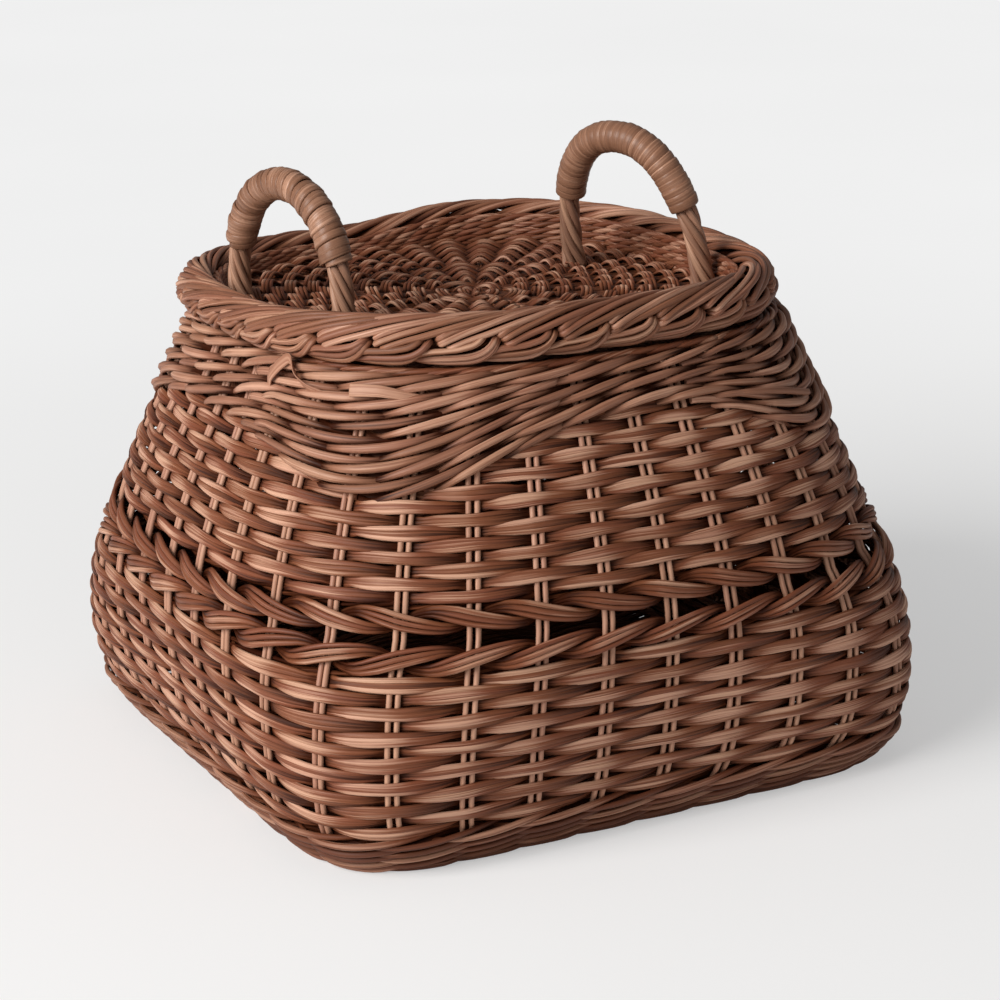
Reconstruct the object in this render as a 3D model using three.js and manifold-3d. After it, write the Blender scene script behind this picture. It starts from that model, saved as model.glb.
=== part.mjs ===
// Square-shouldered rattan basket with a drop-in lid that carries two wrapped bow handles.
// Millimetres, +Z up. Origin: middle of the foot, on the surface that the basket stands on.
// Front is -Y; the handles stand at the +X and -X ends of the lid.

import * as THREE from 'three';
import Module from 'manifold-3d';

const wasm = await Module();
wasm.setup();

// Wall of the basket, measured to the line of the upright stakes
const footHalfWidth = 175.5;
const footWaleTopHalfWidth = 194;
const bellyLowHalfWidth = 205.5;
const waistHalfWidth = 205;
const shoulderLowHalfWidth = 189.5;
const shoulderHalfWidth = 168.5;
const mouthHalfWidth = 152;
const footSquareness = 7.8;
const waistSquareness = 2.96;
const mouthSquareness = 2.9;

// Heights of the bands of the wall
const footWaleHeight = 26;
const bellyLowHeight = 75;
const waistHeight = 131.5;
const waistRowHeight = 16;
const shoulderLowHeight = 180;
const shoulderHeight = 225;
const rimHeight = 264;
const waistGap = 7;
const scallopHeight = 218;
const scallopDepth = 20;
const scallopFlatness = 0.25;
const scallopLeftDrop = 12;

// Upright stakes, set in pairs
const stakeCount = 36;
const stakeDiameter = 3.2;
const stakePairWidth = 7.7;
const stakeWaist = 1;
const stakePhase = 0.1;

// Thickness of the woven bands, out from and in from the line of the stakes
const weaveOut = 3.6;
const weaveIn = 5;
const waleOut = 5.6;
const waleBulge = 1;
const rowRelief = 1.7;
const footRows = 5;
const shoulderRows = 8;
const rimRowHeight = 4.2;
const footLedgeIn = 10;
const footLedgeHeight = 7.7;
const rimCapIn = 3;
const rimCapThickness = 5;
const grooveRamp = 1;

// Floor of the basket
const floorUnderside = 2;
const floorThickness = 9;
const floorStickCount = 5;
const floorStickDiameter = 6;
const floorStickEndInset = 13.5;
const floorStickSideInset = 44.5;
const floorStickHeight = 4.4;

// Lid: spokes under a woven disc, an upstand round it and a plaited border on top
const lidShiftX = -4.5;
const lidShiftY = 3.5;
const lidSquareness = 2.9;
const lidPlay = 8.8;
const lidDrop = 4.5;
const spokeThickness = 3.4;
const spokeProud = 1;
const spokeWidth = 5;
const spokeBars = 9;
const discThickness = 10.5;
const upstandThickness = 3.3;
const upstandHeight = 2.6;
const borderOverhang = 8.8;
const borderHeight = 23.7;
const borderWidth = 22;
const borderSeat = 3.4;
const borderLobe = 1.6;
const borderBundles = 32;
const borderSag = 8;
const borderSagNarrowing = 1.5;

// Bow handles
const handleCoreDiameter = 13.8;
const handleStrandLobe = 0.8;
const handleStrands = 4;
const handleTwistLength = 84;
const handlePocketDepth = 4.5;
const wrapThickness = 1.5;
const wrapWidth = 4.4;
const wrapGap = 0.9;
const wrapTurns = 24;
const rightBowInset = 31.1;
const rightBowOffset = -11;
const rightBowSpan = 98;
const rightBowHeight = 83;
const rightBowFullness = [0.94, 0.83];
const leftBowInset = 25.9;
const leftBowOffset = 12.5;
const leftBowSpan = 95;
const leftBowHeight = 69;
const leftBowFullness = [1, 0.94];

// Gap left between neighbouring pieces
const clearance = 0.3;
const grooveClearance = 0.6;

// Places that follow from the sizes above
const lowerWeaveTop = waistHeight - waistGap / 2 - waistRowHeight;
const upperWeaveBottom = waistHeight + waistGap / 2 + waistRowHeight;
const discHalfWidth = mouthHalfWidth - rimCapIn - lidPlay - upstandThickness - clearance;
const upstandHalfWidth = discHalfWidth + clearance + upstandThickness;
const borderHalfWidth = upstandHalfWidth + borderOverhang;
const spokeUnderside = rimHeight - lidDrop;
const discTop = spokeUnderside + spokeProud + discThickness;
const borderCrest = rimHeight + clearance + borderHeight;
const handles = [
  {
    side: 'right', yaw: 21, lean: 12, span: rightBowSpan, height: rightBowHeight,
    x: discHalfWidth - rightBowInset, y: rightBowOffset, fullness: rightBowFullness,
  },
  {
    side: 'left', yaw: 194.5, lean: -2, span: leftBowSpan, height: leftBowHeight,
    x: leftBowInset - discHalfWidth, y: leftBowOffset, fullness: leftBowFullness,
  },
];

const cane = (color, roughness) => new THREE.MeshStandardMaterial({ color, roughness, metalness: 0 });
const finishes = {
  stake: cane(0x8f6248, 0.55),
  weave: cane(0x7a4f3a, 0.6),
  wale: cane(0x6f4633, 0.6),
  floor: cane(0x6b4634, 0.65),
  border: cane(0x754a37, 0.55),
  core: cane(0x8a5c44, 0.55),
  wrap: cane(0x935f47, 0.5),
};

const point = (x, y, z) => new THREE.Vector3(x, y, z);
const mix = (a, b, t) => a + (b - a) * t;

// A closed solid through rings of points, joined end to end or round in a circle
function loft(rings, closed = false) {
  const perRing = rings[0].length;
  const points = rings.flat();
  const index = [];
  const spans = closed ? rings.length : rings.length - 1;
  for (let i = 0; i < spans; i += 1) {
    const near = i * perRing;
    const far = ((i + 1) % rings.length) * perRing;
    for (let j = 0; j < perRing; j += 1) {
      const k = (j + 1) % perRing;
      index.push(near + j, near + k, far + k, near + j, far + k, far + j);
    }
  }
  if (!closed) {
    const last = (rings.length - 1) * perRing;
    for (const [start, flip] of [[0, true], [last, false]]) {
      const centre = points.length;
      const middle = points.slice(start, start + perRing).reduce((sum, p) => sum.add(p), point(0, 0, 0));
      points.push(middle.divideScalar(perRing));
      for (let j = 0; j < perRing; j += 1) {
        const k = (j + 1) % perRing;
        index.push(centre, start + (flip ? k : j), start + (flip ? j : k));
      }
    }
  }
  const geometry = new THREE.BufferGeometry();
  const positions = points.flatMap((p) => p.toArray());
  geometry.setAttribute('position', new THREE.Float32BufferAttribute(positions, 3));
  geometry.setIndex(index);
  return geometry;
}

function toSolid(geometry) {
  return new wasm.Manifold(new wasm.Mesh({
    numProp: 3,
    vertProperties: new Float32Array(geometry.getAttribute('position').array),
    triVerts: new Uint32Array(geometry.getIndex().array),
  }));
}

function toGeometry(solid) {
  const mesh = solid.getMesh();
  const geometry = new THREE.BufferGeometry();
  geometry.setAttribute('position', new THREE.BufferAttribute(mesh.vertProperties, 3));
  geometry.setIndex(new THREE.BufferAttribute(mesh.triVerts, 1));
  return geometry;
}

// Rounded-square plan outline |x|^n + |y|^n = a^n, stored with its running length
const outlineSteps = 720;
const outlines = new Map();
function outline(halfWidth, squareness) {
  const key = `${halfWidth}/${squareness}`;
  if (!outlines.has(key)) {
    const points = [];
    const lengths = [0];
    for (let i = 0; i <= outlineSteps; i += 1) {
      const angle = (i / outlineSteps) * 2 * Math.PI - Math.PI / 2;
      const [c, s] = [Math.cos(angle), Math.sin(angle)];
      const power = Math.abs(c) ** squareness + Math.abs(s) ** squareness;
      const radius = halfWidth / power ** (1 / squareness);
      points.push([radius * c, radius * s]);
      if (i > 0) {
        const [x, y] = points[i - 1];
        lengths.push(lengths[i - 1] + Math.hypot(points[i][0] - x, points[i][1] - y));
      }
    }
    outlines.set(key, { points, lengths, perimeter: lengths[outlineSteps] });
  }
  return outlines.get(key);
}

// Point at a share of the way round, counter-clockwise from the middle of the front, moved outwards
function planPoint(share, halfWidth, squareness, out) {
  const { points, lengths, perimeter } = outline(halfWidth, squareness);
  const target = (share - Math.floor(share)) * perimeter;
  let low = 0;
  let high = outlineSteps;
  while (high - low > 1) {
    const middle = (low + high) >> 1;
    if (lengths[middle] <= target) low = middle;
    else high = middle;
  }
  const t = (target - lengths[low]) / (lengths[high] - lengths[low]);
  const x = mix(points[low][0], points[high][0], t);
  const y = mix(points[low][1], points[high][1], t);
  const nx = Math.sign(x) * Math.abs(x / halfWidth) ** (squareness - 1);
  const ny = Math.sign(y) * Math.abs(y / halfWidth) ** (squareness - 1);
  const length = Math.hypot(nx, ny);
  return [x + (nx / length) * out, y + (ny / length) * out];
}

// The wall's half-widths and squareness at its main heights; it runs straight between them
const squarenessAt = (z) => (z < waistHeight
  ? mix(footSquareness, waistSquareness, z / waistHeight)
  : mix(waistSquareness, mouthSquareness, (z - waistHeight) / (rimHeight - waistHeight)));
const wallLevels = [
  [0, footHalfWidth],
  [footWaleHeight, footWaleTopHalfWidth],
  [bellyLowHeight, bellyLowHalfWidth],
  [waistHeight, waistHalfWidth],
  [shoulderLowHeight, shoulderLowHalfWidth],
  [shoulderHeight, shoulderHalfWidth],
  [rimHeight, mouthHalfWidth],
].map(([z, halfWidth]) => ({ z, halfWidth, squareness: squarenessAt(z) }));

// Point of the wall beside stake number k: mm along the wall, height, mm out from the stake line
function wallPoint(k, along, z, out) {
  let i = 1;
  while (i < wallLevels.length - 1 && z > wallLevels[i].z) i += 1;
  const [below, above] = [wallLevels[i - 1], wallLevels[i]];
  const t = (z - below.z) / (above.z - below.z);
  const [a, b] = [below, above].map(({ halfWidth, squareness }) => {
    const share = (k + stakePhase) / stakeCount + along / outline(halfWidth, squareness).perimeter;
    return planPoint(share, halfWidth, squareness, out);
  });
  return point(mix(a[0], b[0], t), mix(a[1], b[1], t), z);
}

// Lower edge of the shoulder wale: it dips at the corners and rises in a flat arch at the middle of
// each side, less on the left side than on the others
const shoulderPerimeter = outline(shoulderHalfWidth, squarenessAt(shoulderHeight)).perimeter;
const scallop = (k, along) => {
  const share = (k + stakePhase) / stakeCount + along / shoulderPerimeter;
  const swing = Math.cos(share * 8 * Math.PI);
  const arch = swing + scallopFlatness * (1 - swing ** 2);
  const towardsLeft = ((1 - Math.cos((share - 0.25) * 2 * Math.PI)) / 2) ** 2;
  return scallopHeight + scallopDepth * arch - (scallopLeftDrop * towardsLeft * (1 + swing)) / 2;
};

// Heights at which a face bends with the wall between its edges, highest first. The edges lie in the
// range that is given, and a bend past them is drawn in to just inside
const leastFace = 0.25;
function bendsBetween(lowest, highest) {
  const crossed = wallLevels.map(({ z }) => z).filter((z) => z > lowest && z < highest).reverse();
  return (bottom, top) => crossed.map((z, i) => {
    const room = leastFace * (i + 1);
    return THREE.MathUtils.clamp(z, bottom + leastFace * (crossed.length - i), top - room);
  });
}

// A band all round the wall; section(k, along, inGroove) lists [height, out] from the top of the
// outer face down it and up the inner face
const grooveHalf = stakePairWidth / 2 + grooveClearance;
const grooveEdge = grooveHalf + grooveRamp;
function wallBand(section, grooved) {
  const stations = grooved
    ? [[-grooveEdge, false], [-grooveHalf, true], [grooveHalf, true], [grooveEdge, false]]
    : [[-grooveHalf, false], [grooveHalf, false]];
  const rings = [];
  for (let k = 0; k < stakeCount; k += 1) {
    for (const [along, inGroove] of stations) {
      rings.push(section(k, along, inGroove).map(([z, out]) => wallPoint(k, along, z, out)));
    }
  }
  return loft(rings, true);
}

const waleIn = stakeDiameter / 2 + clearance;
const shoulderWaleMiddle = mix(scallopHeight + scallopDepth, rimHeight, 0.4);
const grooveFloor = -stakeDiameter / 2 - grooveClearance;

// Outer face of twined rows, a rib to each row; the ribs are lower where the rows crowd together
function ribs(top, bottom, rows) {
  const pitch = (top - bottom) / rows;
  const crest = waleOut + waleBulge;
  const valley = crest - Math.min(rowRelief, 0.35 * pitch);
  return Array.from({ length: 2 * rows - 1 }, (_, i) => [
    top - ((i + 1) * pitch) / 2,
    i % 2 ? valley : crest,
  ]);
}

function footWale() {
  return wallBand(() => [
    [footWaleHeight, waleOut], ...ribs(footWaleHeight, 0, footRows), [0, waleOut],
    [0, -footLedgeIn], [footLedgeHeight, -footLedgeIn], [footLedgeHeight, waleIn], [footWaleHeight, waleIn],
  ], false);
}

// Over-and-under weave: its outer face opens in a groove where each pair of stakes shows
function weaveBand(bottom, top, highest) {
  const bends = bendsBetween(bottom, highest);
  return wallBand((k, along, inGroove) => {
    const out = inGroove ? grooveFloor : weaveOut;
    const edge = top(k, along);
    const heights = [edge, ...bends(bottom, edge), bottom];
    return [...heights.map((z) => [z, out]), ...heights.reverse().map((z) => [z, -weaveIn])];
  }, true);
}

const waistRow = (bottom, top) => wallBand(() => [
  [top, waleOut - waleBulge], [(bottom + top) / 2, waleOut + waleBulge], [bottom, waleOut - waleBulge],
  [bottom, waleIn], [top, waleIn],
], false);

// The top of the wale is turned in as a rim that covers the tops of the stakes
function shoulderWale() {
  const capUnderside = rimHeight - rimCapThickness;
  const bends = bendsBetween(scallopHeight - scallopDepth, shoulderWaleMiddle);
  return wallBand((k, along) => {
    const edge = scallop(k, along);
    const heights = bends(edge, shoulderWaleMiddle);
    return [
      [rimHeight, waleOut], ...ribs(rimHeight - rimRowHeight, edge, shoulderRows), [edge, waleOut],
      [edge, waleIn], ...heights.reverse().map((z) => [z, waleIn]), [capUnderside, waleIn],
      [capUnderside, -rimCapIn], [rimHeight, -rimCapIn],
    ];
  }, false);
}

// A pair of round stakes side by side, running up the wall from the ledge of the foot to the rim
function stakePair(k) {
  const heights = [
    footLedgeHeight + clearance,
    ...wallLevels.slice(1, -1).map(({ z }) => z),
    rimHeight - rimCapThickness - clearance,
  ];
  const radius = stakeDiameter / 2;
  const half = stakePairWidth / 2;
  const lobe = half / 2;
  const section = [
    [half, 0], [lobe, radius], [0, stakeWaist / 2], [-lobe, radius],
    [-half, 0], [-lobe, -radius], [0, -stakeWaist / 2], [lobe, -radius],
  ];
  return loft(heights.map((z) => {
    const middle = wallPoint(k, 0, z, 0);
    const outward = wallPoint(k, 0, z, 1).sub(middle).setZ(0).normalize();
    const sideways = point(-outward.y, outward.x, 0);
    return section.map(([u, v]) => middle.clone()
      .addScaledVector(sideways, u)
      .addScaledVector(outward, -v));
  }));
}

// Upright prism on a plan outline
function slab(halfWidth, squareness, bottom, top, sides) {
  const ring = (z) => Array.from({ length: sides }, (_, i) => {
    const [x, y] = planPoint(i / sides, halfWidth, squareness, 0);
    return point(x, y, z);
  });
  return loft([ring(bottom), ring(top)]);
}

// Floor sticks lie in grooves under the woven floor
const floorHalfWidth = footHalfWidth - footLedgeIn;
function floorStick(i, growth) {
  const radius = floorStickDiameter / 2 + growth;
  const length = 2 * (floorHalfWidth - floorStickEndInset + growth);
  const outermost = floorHalfWidth - floorStickSideInset;
  const x = mix(-outermost, outermost, i / (floorStickCount - 1));
  const sides = 8;
  const ring = (y) => Array.from({ length: sides }, (_, j) => {
    const angle = ((j + 0.5) / sides) * 2 * Math.PI;
    return point(x + radius * Math.cos(angle), y, floorStickHeight - radius * Math.sin(angle));
  });
  return loft([ring(-length / 2), ring(length / 2)]);
}

// The woven floor fills the foot wale, edge to edge with its ledge
function wovenFloor() {
  const ring = (z) => Array.from({ length: 2 * stakeCount }, (_, i) => {
    const along = i % 2 ? grooveHalf : -grooveHalf;
    return wallPoint(Math.floor(i / 2), along, z, -footLedgeIn - clearance);
  });
  let solid = toSolid(loft([ring(floorUnderside), ring(floorUnderside + floorThickness)]));
  for (let i = 0; i < floorStickCount; i += 1) {
    solid = solid.subtract(toSolid(floorStick(i, clearance)));
  }
  return toGeometry(solid);
}

// Spokes of the lid: flat bars crossing at its middle, their ends under the upstand
function lidSpokes(growth) {
  let solid = null;
  for (let i = 0; i < spokeBars; i += 1) {
    const angle = (i / spokeBars) * Math.PI;
    const [x, y] = [Math.cos(angle), Math.sin(angle)];
    const power = Math.abs(x) ** lidSquareness + Math.abs(y) ** lidSquareness;
    const reach = upstandHalfWidth / power ** (1 / lidSquareness) - spokeWidth / 2;
    const bar = new THREE.BoxGeometry(
      2 * reach + 2 * growth,
      spokeWidth + 2 * growth,
      spokeThickness + 2 * growth,
    );
    bar.rotateZ(angle).translate(0, 0, spokeUnderside + spokeThickness / 2);
    const piece = toSolid(welded(bar));
    solid = solid ? solid.add(piece) : piece;
  }
  return solid;
}

// Shared corners joined, so that the surface is one closed skin
function welded(geometry) {
  const seen = new Map();
  const positions = [];
  const source = geometry.getAttribute('position');
  const remap = Array.from({ length: source.count }, (_, i) => {
    const corner = [source.getX(i), source.getY(i), source.getZ(i)];
    const key = corner.map((value) => value.toFixed(4)).join(' ');
    if (!seen.has(key)) {
      seen.set(key, positions.length / 3);
      positions.push(...corner);
    }
    return seen.get(key);
  });
  const joined = new THREE.BufferGeometry();
  joined.setAttribute('position', new THREE.Float32BufferAttribute(positions, 3));
  joined.setIndex(Array.from(geometry.getIndex().array, (i) => remap[i]));
  return joined;
}

// Where a handle stands on the disc, turned and leaning about the line through its feet
function bowPlace(handle) {
  const place = new THREE.Object3D();
  place.position.set(handle.x, handle.y, discTop);
  const [lean, yaw] = [handle.lean, handle.yaw].map(THREE.MathUtils.degToRad);
  place.rotation.set(0, -lean, yaw, 'ZYX');
  place.updateMatrix();
  return place;
}

// A handle's feet stand in round pockets sunk in the top of the disc
function footPockets(handle) {
  const radius = handleCoreDiameter / 2 + handleStrandLobe + clearance;
  const sides = 16;
  return [-1, 1].map((end) => {
    const round = radius / Math.cos(Math.PI / sides);
    const pocket = new THREE.CylinderGeometry(round, round, 2 * handlePocketDepth, sides);
    pocket.rotateX(Math.PI / 2).translate(0, (end * handle.span) / 2, 0);
    return toSolid(welded(pocket.applyMatrix4(bowPlace(handle).matrix)));
  });
}

function lidDisc() {
  let solid = toSolid(slab(discHalfWidth, lidSquareness, discTop - discThickness, discTop, 72));
  solid = solid.subtract(lidSpokes(clearance));
  for (const handle of handles) {
    for (const pocket of footPockets(handle)) solid = solid.subtract(pocket);
  }
  return toGeometry(solid);
}

function lidUpstand() {
  const bottom = spokeUnderside + spokeThickness + clearance;
  const top = bottom + upstandHeight;
  const inner = discHalfWidth + clearance;
  const stations = 72;
  return loft(Array.from({ length: stations }, (_, i) => {
    const corner = (halfWidth, z) => {
      const [x, y] = planPoint(i / stations, halfWidth, lidSquareness, 0);
      return point(x, y, z);
    };
    return [
      corner(upstandHalfWidth, top), corner(upstandHalfWidth, bottom),
      corner(inner, bottom), corner(inner, top),
    ];
  }), true);
}

// Plaited border: bundles climb to the right over the outer face, and its underside rests on the rim.
// The crest sags over the back left corner, where the border is pressed down on the rim
const { smoothstep } = THREE.MathUtils;
const sagShare = (share) => smoothstep(share, 0.43, 0.52) - smoothstep(share, 0.74, 0.89);
function lidBorder() {
  const underside = rimHeight + clearance;
  const stationsPerBundle = 4;
  const sides = 8;
  const stations = borderBundles * stationsPerBundle;
  return loft(Array.from({ length: stations }, (_, i) => {
    const sag = sagShare(i / stations);
    const crest = borderCrest - borderSag * sag;
    const radiusUp = (crest - underside + borderSeat) / 2 - borderLobe;
    const radiusOut = borderWidth / 2 - borderLobe - borderSagNarrowing * sag;
    const middle = crest - borderLobe - radiusUp;
    return Array.from({ length: sides }, (__, j) => {
      const angle = -(j / sides) * 2 * Math.PI;
      const lobe = borderLobe * Math.cos((i / stationsPerBundle) * 2 * Math.PI - 2 * angle);
      const out = (radiusOut + lobe) * Math.cos(angle);
      const up = (radiusUp + lobe) * Math.sin(angle);
      const [x, y] = planPoint(i / stations, borderHalfWidth, lidSquareness, out);
      return point(x, y, Math.max(middle + up, underside));
    });
  }), true);
}

// Centre line of a bow handle in its own frame: feet on the Y axis, bow rising along +Z. The fullness
// is given for the leg at -Y and the leg at +Y; the nearer it is to 1, the rounder the bow is there
const bowRise = 0.9;
function bowCurve({ span, height, fullness }) {
  const samples = 400;
  const points = Array.from({ length: samples + 1 }, (_, i) => {
    const angle = (Math.PI * i) / samples;
    const side = Math.cos(angle);
    const y = -(span / 2) * Math.sign(side) * Math.abs(side) ** fullness[side > 0 ? 0 : 1];
    return point(0, y, height * Math.abs(Math.sin(angle)) ** bowRise);
  });
  const curve = new THREE.CatmullRomCurve3(points);
  curve.arcLengthDivisions = 2 * samples;
  return curve;
}

// Point beside the bow: share of its length, turn about its line from the outer side, distance
function besideBow(curve, share, angle, radius) {
  const across = point(1, 0, 0);
  const inward = curve.getTangentAt(share).cross(across);
  return curve.getPointAt(share)
    .addScaledVector(across, radius * Math.cos(angle))
    .addScaledVector(inward, radius * Math.sin(angle));
}

const wrapPitch = wrapWidth + wrapGap;
const wrappedLength = wrapTurns * wrapPitch;

// Twisted strands that stand bare near the feet and lie smooth under the wrapping
function handleCore(handle) {
  const steps = 20;
  const sides = 12;
  const curve = bowCurve(handle);
  const length = curve.getLength();
  const rings = Array.from({ length: steps + 1 }, (_, i) => {
    const share = i / steps;
    const pastWrap = Math.abs(share - 0.5) * length - wrappedLength / 2;
    const bare = THREE.MathUtils.clamp(pastWrap / wrapPitch, 0, 1);
    const twist = (share * length * 2 * Math.PI) / handleTwistLength;
    return Array.from({ length: sides }, (__, j) => {
      const angle = (j / sides) * 2 * Math.PI;
      const lobe = bare * handleStrandLobe * Math.cos(handleStrands * (angle - twist));
      return besideBow(curve, share, angle, handleCoreDiameter / 2 + lobe);
    });
  });
  for (const ring of [rings[0], rings[steps]]) {
    for (const p of ring) p.z = clearance - handlePocketDepth;
  }
  return loft(rings);
}

// Flat cane wound round the top of the bow in one unbroken run
function handleWrap(handle) {
  const stepsPerTurn = 8;
  const curve = bowCurve(handle);
  const length = curve.getLength();
  const inner = (handleCoreDiameter / 2 + clearance) / Math.cos(Math.PI / stepsPerTurn);
  const outer = inner + wrapThickness;
  const rings = Array.from({ length: wrapTurns * stepsPerTurn + 1 }, (_, i) => {
    const turn = i / stepsPerTurn;
    const angle = turn * 2 * Math.PI;
    const middle = 0.5 + ((turn - wrapTurns / 2) * wrapPitch) / length;
    const [low, high] = [middle - wrapWidth / 2 / length, middle + wrapWidth / 2 / length];
    return [
      besideBow(curve, low, angle, inner), besideBow(curve, high, angle, inner),
      besideBow(curve, high, angle, outer), besideBow(curve, low, angle, outer),
    ];
  });
  const gaps = rings.slice(stepsPerTurn).map((ring, i) => Math.min(
    ring[0].distanceTo(rings[i][1]),
    ring[3].distanceTo(rings[i][2]),
  ));
  console.log(`${handle.side} wrapping: least gap between turns ${Math.min(...gaps).toFixed(2)} mm`);
  return loft(rings);
}

function named(name, geometry, material) {
  geometry.computeVertexNormals();
  const mesh = new THREE.Mesh(geometry, material);
  mesh.name = name;
  return mesh;
}

const twoDigits = (i) => String(i + 1).padStart(2, '0');

const basket = new THREE.Group();
basket.add(named('foot_wale', footWale(), finishes.wale));
basket.add(named('base_weave', wovenFloor(), finishes.floor));
for (let i = 0; i < floorStickCount; i += 1) {
  basket.add(named(`base_stick_${i + 1}`, floorStick(i, 0), finishes.stake));
}
for (let k = 0; k < stakeCount; k += 1) {
  basket.add(named(`stake_${twoDigits(k)}`, stakePair(k), finishes.stake));
}
const lowerBottom = footWaleHeight + clearance;
const lowerTop = lowerWeaveTop - clearance;
basket.add(named('lower_weave', weaveBand(lowerBottom, () => lowerTop, lowerTop), finishes.weave));
basket.add(named('waist_lower_row', waistRow(lowerWeaveTop, waistHeight - waistGap / 2), finishes.wale));
basket.add(named('waist_upper_row', waistRow(waistHeight + waistGap / 2, upperWeaveBottom), finishes.wale));
const upperBottom = upperWeaveBottom + clearance;
const upperTop = (k, along) => scallop(k, along) - clearance;
const upperHighest = scallopHeight + scallopDepth;
basket.add(named('upper_weave', weaveBand(upperBottom, upperTop, upperHighest), finishes.weave));
basket.add(named('shoulder_wale', shoulderWale(), finishes.wale));

const lid = new THREE.Group();
lid.add(named('lid_spokes', toGeometry(lidSpokes(0)), finishes.stake));
lid.add(named('lid_disc', lidDisc(), finishes.weave));
lid.add(named('lid_upstand', lidUpstand(), finishes.wale));
lid.add(named('lid_border', lidBorder(), finishes.border));
for (const handle of handles) {
  const bow = bowPlace(handle);
  bow.add(named(`handle_core_${handle.side}`, handleCore(handle), finishes.core));
  bow.add(named(`handle_wrap_${handle.side}`, handleWrap(handle), finishes.wrap));
  lid.add(bow);
}
lid.position.set(lidShiftX, lidShiftY, 0);

const object = new THREE.Group();
object.add(basket, lid);

export default object;
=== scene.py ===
import math
from typing import NamedTuple

import bmesh
import bpy
import numpy as np
from mathutils import Matrix, Vector


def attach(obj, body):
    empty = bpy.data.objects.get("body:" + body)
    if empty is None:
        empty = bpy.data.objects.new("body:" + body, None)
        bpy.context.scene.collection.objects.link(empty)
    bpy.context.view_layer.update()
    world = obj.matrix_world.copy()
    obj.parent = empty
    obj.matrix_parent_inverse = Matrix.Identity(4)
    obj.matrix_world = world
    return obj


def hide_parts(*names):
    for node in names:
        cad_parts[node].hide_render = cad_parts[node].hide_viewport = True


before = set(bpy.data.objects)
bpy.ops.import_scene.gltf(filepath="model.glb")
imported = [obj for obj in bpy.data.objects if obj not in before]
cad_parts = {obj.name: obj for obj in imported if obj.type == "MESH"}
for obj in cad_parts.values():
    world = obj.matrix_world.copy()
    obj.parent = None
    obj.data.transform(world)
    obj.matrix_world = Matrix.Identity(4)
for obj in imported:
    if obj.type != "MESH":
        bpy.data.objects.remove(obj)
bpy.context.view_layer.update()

bl_info = {
    "name": "Rattan basket with a drop-in lid",
    "version": (1, 0, 0),
    "blender": (4, 5, 0),
    "location": "View3D > Sidebar > Basket",
    "description": "Weaves a square-shouldered rattan basket, its plaited lid and its two bow handles",
    "category": "Object",
}

MM = 0.001


def linear(hex_colour):
    """An sRGB hex colour as linear red, green, blue and alpha."""
    channels = [int(hex_colour[i:i + 2], 16) / 255 for i in (1, 3, 5)]
    return tuple(c / 12.92 if c <= 0.04045 else ((c + 0.055) / 1.055) ** 2.4 for c in channels) + (1.0,)


# Sizes and colours that a user would change

def number(name, description, default, **settings):
    return bpy.props.FloatProperty(
        name=name, description=description, default=default, min=0.0, **settings)


def length(name, description, default_mm):
    return number(name, description, default_mm * MM, unit="LENGTH", precision=4)


def colour(name, description, default):
    return bpy.props.FloatVectorProperty(
        name=name, description=description, default=linear(default), size=4, min=0.0, max=1.0,
        subtype="COLOR")


class BasketColours(bpy.types.PropertyGroup):
    # deep is the darkest colour of the stain, and also the painted shade where reeds dive and on the dark
    # packing
    deep: colour("Deep dye", "Colour where the stain gathers between reeds", "#38190c")
    middle: colour("Dyed reed", "Main colour of the stained reeds", "#7b462d")
    # bright is the palest colour of the stain, and also painted light on weaver parts that stand out
    # toward the lamp and on the plait's top
    bright: colour("Rubbed reed", "Colour where the stain is thin or rubbed", "#c5987e")
    # the stake colour is paler than the other reeds, partly as a painted highlight of the shine on the
    # round stakes
    stake: colour("Stake reed", "Main colour of the upright reeds", "#a97a63")
    cane: colour("Wrapping cane", "Main colour of the flat cane on the handles", "#87604a")


class BasketWallSizes(bpy.types.PropertyGroup):
    stake: length("Stake thickness", "Diameter of one upright reed", 3.1)
    stake_spread: length("Stake spread", "Distance between the two reeds of a pair", 4.9)
    weaver: length("Weaver depth", "Thickness of one fine weaving reed", 1.9)
    twine: length("Twine thickness", "Thickness of a reed in the twined rows", 4.7)
    waist: length("Waist reed", "Thickness of a reed in the two waist rows", 3.1)


class BasketLidSizes(bpy.types.PropertyGroup):
    plait: length("Plait reed", "Thickness of a reed in the plaited border", 3.6)
    disc: length("Disc reed", "Thickness of a fine reed in the woven disc", 2.3)
    strand: length("Handle strand", "Thickness of a strand in the handle core", 4.5)
    cane: length("Cane width", "Width of the flat cane round the handles", 5.7)


class BasketStage(bpy.types.PropertyGroup):
    floor: colour("Floor", "Colour of the plain floor", "#fbfbfb")
    key: number("Key light", "Power of the soft light from the left, in watts", 182.0)
    fill: number("Fill light", "Strength of the even light from all round", 0.26)


# Shape of the wall: half-width of the plan at each height, to the line of the stakes, in millimetres

WALL_LEVELS = ((0, 175.5), (26, 194), (75, 205.5), (131.5, 205), (180, 189.5), (225, 168.5), (264, 152))
RIM = 264.0
STAKES = 36
# about the distance between two stakes along the wall
STAKE_PITCH = 36.0
STAKE_PHASE = 0.1
SCALLOP_MIDDLE = 218.0
SCALLOP_DEPTH = 20.0
# the lid lies a little to the left and back
LID_SHIFT = np.array([-4.5, 3.5, 0.0])
DISC_TOP = 271.0
BORDER_HALF = 149.0
# how far the lid's border is pressed down at the back left, and the upstand per millimetre of its height
BORDER_SAG = 6.0
UPSTAND_SAG = 0.42
UPSTAND_FOOT = 264.0
# how finely the tables of the plan are cut
PLAN_STEPS = 1440


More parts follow.
